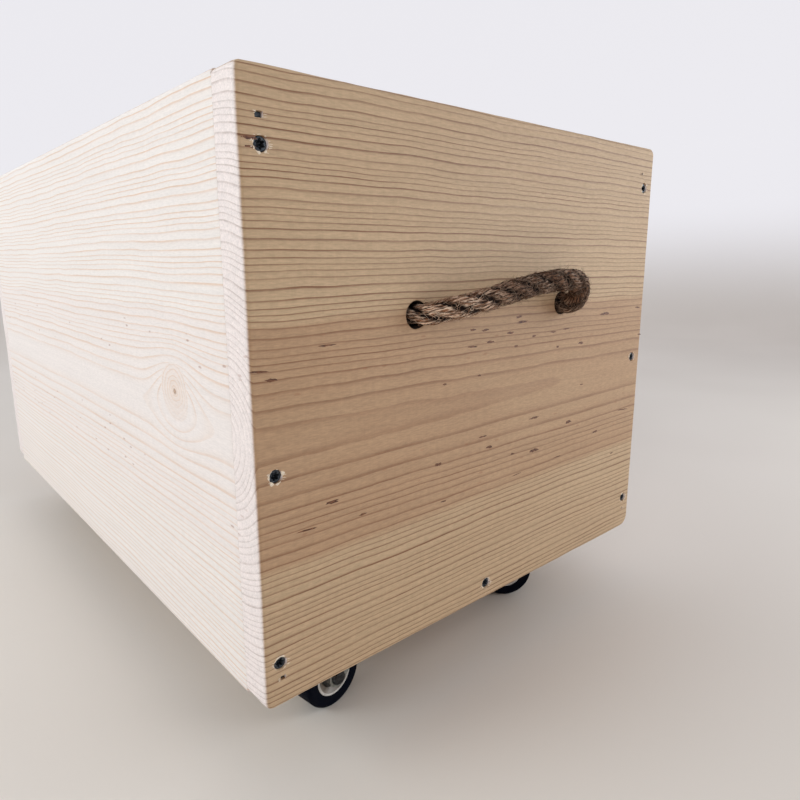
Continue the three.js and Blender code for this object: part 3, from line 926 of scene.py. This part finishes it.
def handle(end, material):
    """The rope of one handle, from knot to knot."""
    knots = [part for where in ROPE_HOLES for part in knot(end, where, material)]
    route = [(FACE_X + out, NEAR_Y + across, LOWER_Z + up) for out, across, up in HANDLE_ROUTE]
    rope, line = laid_rope(f"rope_{end}", route, material, seed=3.0, fullness=handle_fullness)
    fuzz = hairs(f"rope_fuzz_{end}", line, material, 2600, 7.0, 11, thickest=0.88, strays=STRAYS)
    path = np.vstack([line[::4], line[-1:]])
    side = ENDS[end]
    path = path * (side * MM, side * MM, MM)
    for part in (rope, fuzz):
        turn_end(part, end)
        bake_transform(part)
    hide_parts(f"rope_bow_{end}", f"rope_tail_{end}_near", f"rope_tail_{end}_far")
    return rope


JUTE = jute("jute", rgb(1.0, 0.79, 0.60), rgb(0.42, 0.20, 0.105), rgb(0.014, 0.006, 0.004))
for end_name in ENDS:
    handle(end_name, JUTE)

# ---- the wooden walls -----------------------------------------------------------------------

PINE = {
    "front": pine("pine_front", 1, (251.9, 187), -0.0052, **END_TONES, seed=1,
                  lit_end_tone=LIT_END_GRAIN, flecks=0.3),
    "rear": pine("pine_rear", 1, (-246.5, 204), 0.004, **END_TONES, seed=5, lit_end_tone=LIT_END_GRAIN),
    "right": pine("pine_right", 0, (-146.4, 188), 0.0, **LIT_SIDE_TONES, seed=2,
                  knots=[(194, 200, 18, 16, -10)], flecks=0.5),
    "left": pine("pine_left", 0, (140, 230), 0.006, **LIT_SIDE_TONES, seed=9,
                 knots=[(-120, 150, 11, 12, -8), (90, 281, 7, 7, -6)], flecks=0.5),
    "bottom": pine("pine_bottom", 0, (30, 20), 0.01, **END_TONES, seed=13),
}
# painted shade for the rope holes' walls
BORE_SHADE = bore_shade_paint("bore_shade_paint")
for end_name in ENDS:
    end_board(end_name, PINE[end_name])
side_board("right", -1, PINE["right"])
side_board("left", 1, PINE["left"])
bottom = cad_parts["bottom_board"]
bottom.data.materials.clear()
bottom.data.materials.append(PINE["bottom"])

# ---- screws -------------------------------------------------------------------------------

HEAD_RADIUS = 3.25
HEAD_SIDES = 48
SCREW_LENGTH = 50.0
THREAD_PITCH = 2.2
THREAD_CORE = 1.35  # radius between the turns of the thread
THREAD_HIGH = 0.62
# Along the screw, and radius there: the head from its recess outwards, its cone and its neck.
SCREW_HEAD = ((0, 2.8), (-0.06, 3.1), (-0.25, HEAD_RADIUS), (-0.5, 3.2),
              (-2.4, 2.15), (-3.6, 2.0), (-8, 1.9))


def recess(angle):
    """Radius of the six-lobed driver recess."""
    return 2.05 + 0.42 * math.cos(6 * angle)


def thread(along, angle):
    """Radius of the threaded part, its ridges winding round as they go along."""
    return THREAD_CORE + THREAD_HIGH * max(0.0, math.cos(TURN * along / THREAD_PITCH + angle)) ** 5


def screw_mesh():
    """A countersunk wood screw with its head's face at x = 0, facing +X."""
    angles = np.linspace(0, TURN, HEAD_SIDES, endpoint=False)

    def ring(along, radius_of):
        return np.array([(along, radius_of(a) * math.cos(a), radius_of(a) * math.sin(a)) for a in angles])

    rings = [ring(-3.4, lambda a: 0.15)]
    for along, share in ((-2.5, 0.75), (-0.12, 0.97), (0, 1.06)):
        rings.append(ring(along, lambda a, share=share: share * recess(a)))
    for along, radius in SCREW_HEAD:
        rings.append(ring(along, lambda a, radius=radius: radius))
    x = -8.5
    while x > -SCREW_LENGTH + 4:
        rings.append(ring(x, lambda a, x=x: thread(x, a)))
        x -= 0.4
    rings += [ring(-SCREW_LENGTH + 3, lambda a: 1.2), ring(-SCREW_LENGTH, lambda a: 0.1)]
    return loft(rings)


def blade(vertices, faces, root, way, width, lift, thick):
    """One splinter: a thin wedge from its root along a way in the face's plane, its tip lifted."""
    first = len(vertices)
    up = np.array((1.0, 0, 0))
    across = np.cross(up, way)
    across = across / np.linalg.norm(across)
    base = root - up * 0.25
    middle = root + way * 0.55 + up * (thick + lift * 0.4)
    tip = root + way + up * lift
    vertices += [base - across * width, base + across * width, middle - across * width * 0.7,
                 middle + across * width * 0.7, middle - up * thick, tip, base - up * 0.3]
    faces += [tuple(first + i for i in face) for face in
              ((0, 1, 3, 2), (2, 3, 5), (0, 2, 4, 6), (2, 5, 4), (3, 1, 6, 4), (3, 4, 5), (0, 6, 1))]


def torn_rim(vertices, faces, radius, seed):
    """The uneven burr of fibres round a hole."""
    sides, around = 56, 7
    first = len(vertices)
    for i in range(sides):
        angle = TURN * i / sides
        wild = round_noise(angle, 1.9, seed * 2.3)
        fine = round_noise(angle, 8, seed * 9.1)
        along_grain = abs(math.cos(angle))
        thick = max(0.0, -0.07 + 0.95 * wild + 0.25 * fine + 0.1 * along_grain) + 0.008
        middle = radius + thick * 0.35 + 0.12 * fine
        for k in range(around):
            a = TURN * k / around
            r = middle + thick * 1.25 * math.cos(a)
            out = 0.42 * thick * math.sin(a) + 0.02
            vertices.append(np.array((out, r * math.cos(angle), r * math.sin(angle))))
    for i in range(sides):
        here, there = first + i * around, first + (i + 1) % sides * around
        for k in range(around):
            beside = (k + 1) % around
            faces.append((here + k, there + k, there + beside, here + beside))


def torn_wood(name, places, material):
    """Burrs and splinters round the screw and brad holes of one end, as one piece."""
    shapes = []
    for seed, (from_near, height, radius, count) in enumerate(places):
        dice = random.Random(100 + seed)
        own, own_faces = [], []
        if radius > HEAD_RADIUS:
            torn_rim(own, own_faces, radius, seed)
        for _ in range(count):
            sign = dice.choice((-1, 1))
            angle = dice.gauss(0, 0.55) + (0 if sign > 0 else math.pi)
            root = np.array((0, radius * math.cos(angle), radius * math.sin(angle)))
            way = np.array((0, sign * dice.uniform(0.7, 2.7), dice.uniform(-0.5, 0.5)))
            blade(own, own_faces, root, way, dice.uniform(0.12, 0.34), dice.uniform(0.05, 0.55), 0.1)
        shapes.append(at_face((own, own_faces), from_near, height))
    return outward(new_piece(name, *joined(shapes), [material], smooth=False))


FLECK_RISE = 0.03  # mm that a fleck's middle stands over the face
FLECK_SPREAD = 1.5  # how much wider a fleck is than the part that shows
# Resin flecks of the front board, in mm: from the near edge, above the lower edge, length, height.
RESIN_FLECKS = (
    (42, 180, 9, 0.7), (146, 179.5, 4, 1.0), (157, 178.5, 5, 1.3), (189, 184.5, 5, 1.2),
    (192, 181, 9, 1.2), (181, 175, 5, 1.1), (146, 169.5, 7, 0.9), (162, 171, 6, 1.1),
    (205, 171, 3, 1.3), (226, 172, 5, 0.9), (241, 173, 7, 0.9), (187, 166, 3, 1.2),
    (232, 161.5, 2.5, 1.2), (260, 161.5, 6, 1.4), (291, 180.7, 7, 1.5), (286, 180.2, 5, 1.0),
    (336, 182.5, 7, 1.0), (342, 161, 4, 0.9), (5.5, 171.5, 7, 0.8), (11, 167, 5, 1.3),
    (123, 150, 2.5, 1.0), (152.5, 151.5, 2.5, 1.0), (264, 131, 3, 0.7), (209, 115.5, 9, 1.1),
    (157, 112.5, 5, 0.9), (118.5, 103, 4, 1.8), (163.5, 104.5, 5, 1.3), (43, 100, 7, 1.4),
    (250, 105.5, 5, 1.8), (325, 102.5, 11, 0.8), (210, 92.5, 8, 1.9), (286, 91.5, 6, 1.4),
    (28, 89.5, 9, 0.9), (62, 88, 4, 0.8), (187, 95, 3, 0.9), (123, 79, 5, 0.7), (192, 79.5, 9, 0.5),
    (238, 82, 8, 0.5), (312, 69, 3, 0.8), (5.4, 269.8, 5, 1.2), (5.8, 266.4, 4, 0.8),
)


def resin_flecks(end, material):
    """Slivers of dark resin set flush in a board's face, ragged and drawn out along the grain."""
    vertices, faces = [], []
    sides = 18
    for seed, (from_near, height, length, high) in enumerate(RESIN_FLECKS):
        tilt = 0.14 * noise.noise(Vector((seed * 1.7, 0.3, 0)))
        middle = len(vertices)
        vertices.append((FACE_X + FLECK_RISE, NEAR_Y + from_near, LOWER_Z + height))
        for k in range(sides):
            a = TURN * k / sides
            rough = 1 + 0.7 * round_noise(a, 2.2, seed * 2.9)
            u = FLECK_SPREAD * length / 2 * rough * math.cos(a)
            v = FLECK_SPREAD * high / 2 * rough * math.sin(a)
            vertices.append((FACE_X - FLECK_RISE / 4, NEAR_Y + from_near + u - v * tilt,
                             LOWER_Z + height + v + u * tilt))
        faces += [(middle, middle + 1 + k, middle + 1 + (k + 1) % sides) for k in range(sides)]
    flecks = new_piece(f"resin_flecks_{end}", vertices, faces, [material])
    turn_end(flecks, end)
    return clad(flecks, material, "pine")


def resin(name):
    n = Nodes(name)
    streak = n.mottle((0.8, 0.35, 1.6), 2)
    colour = n.mix(n.step(streak, 0.38, 0.62), rgb(0.07, 0.021, 0.010), rgb(0.22, 0.085, 0.034))
    return n.finish(colour, n.step(streak, 0.3, 0.7, 0.6, 0.45), streak, depth_mm=0.05)


def dark_steel(name):
    n = Nodes(name)
    fine = n.mottle((2.4, 2.4, 2.4), 3)
    broad = n.mottle((0.6, 0.6, 0.6), 1)
    colour = n.mix(n.step(fine, 0.35, 0.7), rgb(0.025, 0.031, 0.040), rgb(0.085, 0.095, 0.108))
    colour = n.mix(n.step(broad, 0.55, 0.75, 0.0, 0.3), colour, rgb(0.16, 0.17, 0.175))
    return n.finish(colour, n.step(fine, 0.3, 0.7, 0.5, 0.3), fine, depth_mm=0.03, Metallic=0.75)


def torn_fibre(name):
    n = Nodes(name)
    fibre = n.mottle((3.0, 0.5, 3.0), 2)
    colour = n.mix(n.step(fibre, 0.3, 0.7), rgb(0.80, 0.64, 0.46), rgb(0.90, 0.80, 0.66))
    return n.finish(colour, n.step(fibre, 0.3, 0.7, 0.9, 0.7), fibre, depth_mm=0.08)


def add_screws(end):
    for name, (from_near, height) in SCREW_PLACES.items():
        screw = bpy.data.objects.new(f"steel_screw_{end}_{name}", screw_shape)
        bpy.context.scene.collection.objects.link(screw)
        turn = 0 if ENDS[end] > 0 else math.pi
        spin = Matrix.Rotation(0.4 * from_near + 0.9 * height, 4, "X")
        place = on_end(end, (-SCREW_SUNK, from_near, height))
        screw.matrix_world = Matrix.Translation(place) @ Matrix.Rotation(turn, 4, "Z") @ spin
        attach(screw, "box")
        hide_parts(f"screw_{end}_{name}")
    places = [(y, z, HEAD_RADIUS + 0.4, 13) for y, z in SCREW_PLACES.values()]
    places += [(y, z, high / 2 + 0.3, 4) for y, z, _, high in BRAD_PLACES]
    for number, place in enumerate(BRAD_PLACES):
        turn_end(brad(f"steel_brad_{end}_{number + 1}", *place), end)
    torn = torn_wood(f"torn_wood_{end}", places, TORN)
    turn_end(torn, end)
    clad(torn, TORN, "pine")


def brad(name, from_near, height, length, high):
    """A brad sunk in its hole: a blunt rectangular wire."""
    rings = []
    for out, scale in ((-1.3, 0.6), (-1.5, 0.75), (-18.0, 0.75)):
        rings.append(np.array([(out, length / 2 * scale * a, high / 2 * scale * b)
                               for a, b in ((-1, -1), (1, -1), (1, 1), (-1, 1))]))
    wire = outward(new_piece(name, *at_face(loft(rings), from_near, height), smooth=False))
    return clad(wire, STEEL, "blackened_steel")


TORN = torn_fibre("torn_fibre")
STEEL = dark_steel("blackened_steel")
resin_flecks("front", resin("resin"))
shape = outward(new_piece("screw_shape", *screw_mesh(), [STEEL]))
crisp(shape, 40)
screw_shape = shape.data
bpy.data.objects.remove(shape)
for end_name in ENDS:
    add_screws(end_name)

# ---- casters ------------------------------------------------------------------------------

WHEEL_SIDES = 96
TYRE_LAP = 1.0  # mm by which the tyre's side wall laps over the rim
LIP_WIDTH = 1.6  # mm from the rim's edge
RECESS_FROM = 4.8
CASTER_TURN = {"front_right": 7, "front_left": -37, "rear_right": 0, "rear_left": 0}  # degrees


def rubber(name):
    n = Nodes(name)
    fine = n.mottle((1.6, 1.6, 1.6), 3)
    dust = n.mottle((0.12, 0.3, 0.3), 3)
    colour = n.mix(n.step(dust, 0.45, 0.8, 0.0, 0.3), rgb(0.001, 0.002, 0.007), rgb(0.010, 0.010, 0.013))
    return n.finish(colour, n.step(fine, 0.3, 0.7, 0.7, 0.5), fine, depth_mm=0.05, Specular_IOR_Level=0.05)


def plastic(name, low, high):
    n = Nodes(name)
    fine = n.mottle((1.2, 1.2, 1.2), 3)
    grime = n.mottle((0.2, 0.2, 0.2), 2)
    colour = n.mix(n.step(grime, 0.3, 0.75), low, high)
    return n.finish(colour, n.step(fine, 0.3, 0.7, 0.5, 0.36), fine, depth_mm=0.02)


def zinc(name, low, high):
    n = Nodes(name)
    flow = n.mottle((0.25, 0.25, 0.9), 3)
    fine = n.mottle((3.0, 3.0, 3.0), 2)
    colour = n.mix(n.step(flow, 0.3, 0.7), low, high)
    return n.finish(colour, n.step(fine, 0.3, 0.7, 0.42, 0.26), fine, depth_mm=0.02, Metallic=0.9)


def wheel_part(name, profile, materials, shades, corner, centre):
    """A part of a wheel turned about its axle; shades gives each band's material number."""
    rings = turned(profile, WHEEL_SIDES)
    way = np.array(Matrix.Rotation(math.radians(CASTER_TURN[corner]), 3, "Z"))
    vertices = np.concatenate(rings) @ way.T + centre
    faces = grid_faces(len(rings), WHEEL_SIDES)
    piece = new_piece(name, vertices, faces, materials)
    for i in range(len(rings) - 1):
        for k in range(WHEEL_SIDES):
            piece.data.polygons[i * WHEEL_SIDES + k].material_index = shades[i] if shades else 0
    return crisp(outward(piece), 35)


def tyre_profile(radius, inner, half):
    """A closed section with round shoulders and a slightly crowned tread."""
    shoulder = 2.5
    one_side = [(inner, half - 0.3), (inner + 1.0, half), (radius - shoulder, half)]
    one_side += [(radius - shoulder + shoulder * math.sin(a), half - shoulder + shoulder * math.cos(a))
                 for a in np.linspace(0.2, math.pi / 2 - 0.06, 7)]
    section = one_side + [(radius, 0.0)] + [(r, -x) for r, x in reversed(one_side)]
    return section + [section[0]]


def rim_profile(radius, half):
    """A closed section: pale double lip, sloping face, deep recess and hub, the same both sides."""
    lip = ((0, 0.5), (0.2, 0), (0.65, 0), (0.75, 0.5), (1.0, 0.5), (1.1, 0.05), (1.5, 0.05),
           (1.7, 0.3), (4.6, 1.9), (4.9, 2.6))
    one_side = [(radius - inwards, half - down) for inwards, down in lip]
    one_side += [(radius - 5.2, 2.0), (6.4, 2.0), (6.0, half + 0.6), (5.7, half + 1.0), (3.3, half + 1.0)]
    section = one_side + [(r, -x) for r, x in reversed(one_side)]
    return section + [section[0]]


def rim_shade(inwards):
    """1 for the rim's pale lip, 0 for its face and 2 for its recess and hub, painted dark as shade, by mm
    from its edge.
    """
    if inwards < LIP_WIDTH:
        return 1
    return 2 if inwards > RECESS_FROM else 0


def caster_wheel(corner):
    centre = sum(millimetres(f"tyre_{corner}")) / 2
    tyre_low, tyre_high = millimetres("tyre_rear_right")  # this one stands straight
    rim_low, rim_high = millimetres("rim_rear_right")
    radius = (tyre_high - tyre_low)[2] / 2
    half = (tyre_high - tyre_low)[0] / 2
    rim_radius = (rim_high - rim_low)[2] / 2 - TYRE_LAP
    rim_half = (rim_high - rim_low)[0] / 2 - 1
    profile = tyre_profile(radius, rim_radius, half)
    tyre = wheel_part(f"rubber_tyre_{corner}", profile, [RUBBER], None, corner, centre)
    profile = rim_profile(rim_radius, rim_half)
    shades = [rim_shade(rim_radius - r) for r, _ in profile[1:]]
    rim = wheel_part(f"plastic_rim_{corner}", profile, [RIM, RIM_LIP, RIM_RECESS_SHADE], shades, corner, centre)
    for piece, slot, node in ((tyre, "tyre_rubber", "tyre"), (rim, "wheel_plastic", "rim")):
        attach(piece, f"wheel_{corner}")
        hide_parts(f"{node}_{corner}")


def plate_screw(corner, index, x, y, z):
    """A pan-head screw with a cross recess that holds a caster plate; its head hangs down."""
    angles = np.linspace(0, TURN, 32, endpoint=False)

    def cross(angle):
        return 0.5 + 0.75 * abs(math.cos(2 * angle)) ** 6

    def ring(down, radii):
        return np.array([(r * math.cos(a), r * math.sin(a), -down) for r, a in zip(radii, angles)])

    rings = []
    for radius, down in ((2.2, -0.1), (3.5, 0.0), (3.7, 0.35), (3.5, 0.9), (2.7, 1.4), (1.7, 1.62)):
        rings.append(ring(down, [radius] * len(angles)))
    for scale, down in ((1.0, 1.66), (0.8, 0.7)):
        rings.append(ring(down, [scale * cross(a) for a in angles]))
    vertices, faces = loft(rings)
    turn = Matrix.Rotation(0.7 * index + 0.3, 3, "Z")
    vertices = [turn @ Vector(v) + Vector((x, y, z)) for v in vertices]
    screw = crisp(outward(new_piece(f"plate_screw_{corner}_{index}", vertices, faces)), 40)
    clad(screw, ZINC_BRIGHT, "zinc")


def caster(corner):
    """One caster: its wheel and plate screws are drawn anew, its other parts get eased edges."""
    caster_wheel(corner)
    for node, width in (("caster_plate", 0.35), ("ball_race", 0.4), ("king_pin", 0.3), ("fork", 0.35),
                        ("axle", 0.3)):
        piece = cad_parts[f"{node}_{corner}"]
        piece.data.materials.clear()
        piece.data.materials.append(DARK_PIN if node in ("axle", "king_pin") else ZINC)
        bevel = piece.modifiers.new("ease", "BEVEL")
        bevel.width = width * MM
        bevel.segments = 2
        bevel.limit_method = "ANGLE"
        bevel.angle_limit = math.radians(35)
        bevel.harden_normals = True
    low, high = millimetres(f"caster_plate_{corner}")
    reach = (high - low)[0] / 2 - 6
    middle = (low + high) / 2
    for index, (sx, sy) in enumerate(((1, 1), (1, -1), (-1, 1), (-1, -1))):
        plate_screw(corner, index, middle[0] + sx * reach, middle[1] + sy * reach, low[2])


RUBBER = rubber("tyre_rubber")
RIM = plastic("rim_plastic", rgb(0.24, 0.20, 0.165), rgb(0.34, 0.29, 0.245))
RIM_LIP = plastic("rim_lip", rgb(0.66, 0.63, 0.59), rgb(0.78, 0.75, 0.71))
# painted shade: the rim's recess and hub are drawn near black, for the shade that falls in them
RIM_RECESS_SHADE = plastic("rim_recess_shade", rgb(0.10, 0.09, 0.08), rgb(0.16, 0.145, 0.13))
ZINC = zinc("zinc", rgb(0.24, 0.25, 0.225), rgb(0.36, 0.365, 0.335))
ZINC_BRIGHT = zinc("zinc_bright", rgb(0.46, 0.46, 0.45), rgb(0.62, 0.62, 0.60))
DARK_PIN = zinc("dark_pin", rgb(0.02, 0.021, 0.022), rgb(0.06, 0.06, 0.06))
for corner_name in CASTER_TURN:
    caster(corner_name)

# ---- stage and light ----------------------------------------------------------------------

STUDIO_WALL = (0.785, 0.775, 0.815)
BRIGHT_SIDE = (-0.755, 0.656)  # the studio is brightest behind the box
DIM_WALL = 0.5  # its brightness on the other side


def stage_paint(name):
    n = Nodes(name)
    place = n.object_mm()
    broad = n.mottle((0.002, 0.002, 0.002), 2)
    fine = n.mottle((0.5, 0.5, 0.5), 2)
    colour = n.mix(n.step(broad, 0.3, 0.7), rgb(0.745, 0.685, 0.62), rgb(0.785, 0.725, 0.66))
    wall = n.step(n.split(place)[2], 5.0, 500.0)
    colour = n.mix(wall, colour, rgb(0.05, 0.05, 0.05))
    x, y, _ = n.split(n.times(place, tuple(c / 2600 for c in (*BRIGHT_SIDE, 0))))
    glow = n.step(n.math("ADD", x, y), -0.2, 0.8, DIM_WALL, 1.0)
    n.put(n.shader.inputs["Emission Color"], rgb(*STUDIO_WALL))
    n.put(n.shader.inputs["Emission Strength"], n.math("MULTIPLY", wall, glow))
    return n.finish(colour, n.step(fine, 0.3, 0.7, 0.62, 0.5), fine, depth_mm=0.03)


def make_stage():
    """A pale floor that curves up into a wall all round."""
    flat, bend, wall = 1900.0, 700.0, 2600.0
    profile = [(0.1, 0), (300, 0), (1200, 0), (flat, 0)]
    profile += [(flat + bend * math.sin(a), bend * (1 - math.cos(a)))
                for a in np.linspace(0.15, math.pi / 2, 10)]
    profile += [(flat + bend, wall)]
    sides = 96
    angles = np.linspace(0, TURN, sides, endpoint=False)
    vertices = [(r * math.cos(a), r * math.sin(a), z) for r, z in profile for a in angles]
    faces = grid_faces(len(profile), sides) + [tuple(range(sides))]
    floor = new_piece("floor", vertices, faces, [stage_paint("stage_paint")])


def area_light(name, place, target, size, power, colour):
    data = bpy.data.lights.new(name, "AREA")
    data.shape = "DISK"
    data.size = size
    data.energy = power
    data.color = colour
    lamp = bpy.data.objects.new(name, data)
    lamp.location = place
    lamp.rotation_euler = (Vector(target) - Vector(place)).to_track_quat("-Z", "Y").to_euler()
    bpy.context.scene.collection.objects.link(lamp)


def make_light():
    scene = bpy.context.scene
    scene.view_settings.view_transform = "Standard"
    world = bpy.data.worlds.new("studio")
    world.use_nodes = True
    sky = world.node_tree
    sky.nodes["Background"].inputs["Color"].default_value = rgb(*STUDIO_WALL)
    way = sky.nodes.new("ShaderNodeTexCoord")
    toward = sky.nodes.new("ShaderNodeVectorMath")
    toward.operation = "DOT_PRODUCT"
    toward.inputs[1].default_value = (*BRIGHT_SIDE, 0)
    glow = sky.nodes.new("ShaderNodeMapRange")
    glow.interpolation_type = "SMOOTHSTEP"
    for socket, number in zip(glow.inputs[1:5], (-0.2, 0.8, DIM_WALL, 1.0)):
        socket.default_value = number
    sky.links.new(way.outputs["Generated"], toward.inputs[0])
    sky.links.new(toward.outputs["Value"], glow.inputs[0])
    sky.links.new(glow.outputs[0], sky.nodes["Background"].inputs["Strength"])
    scene.world = world
    area_light("window", (-0.5, -1.7, 1.1), (0, 0, 0.2), 1.1, 19.5, (0.86, 0.96, 1.0))
    area_light("front", (0.95, -1.25, 0.95), (0.28, 0, 0.2), 0.3, 2.2, (1.0, 0.97, 0.93))
    area_light("far_wall", (1.0, 1.0, 0.5), (0.28, 0.17, 0.14), 0.7, 6.6, (0.88, 0.95, 1.0))


make_stage()
make_light()
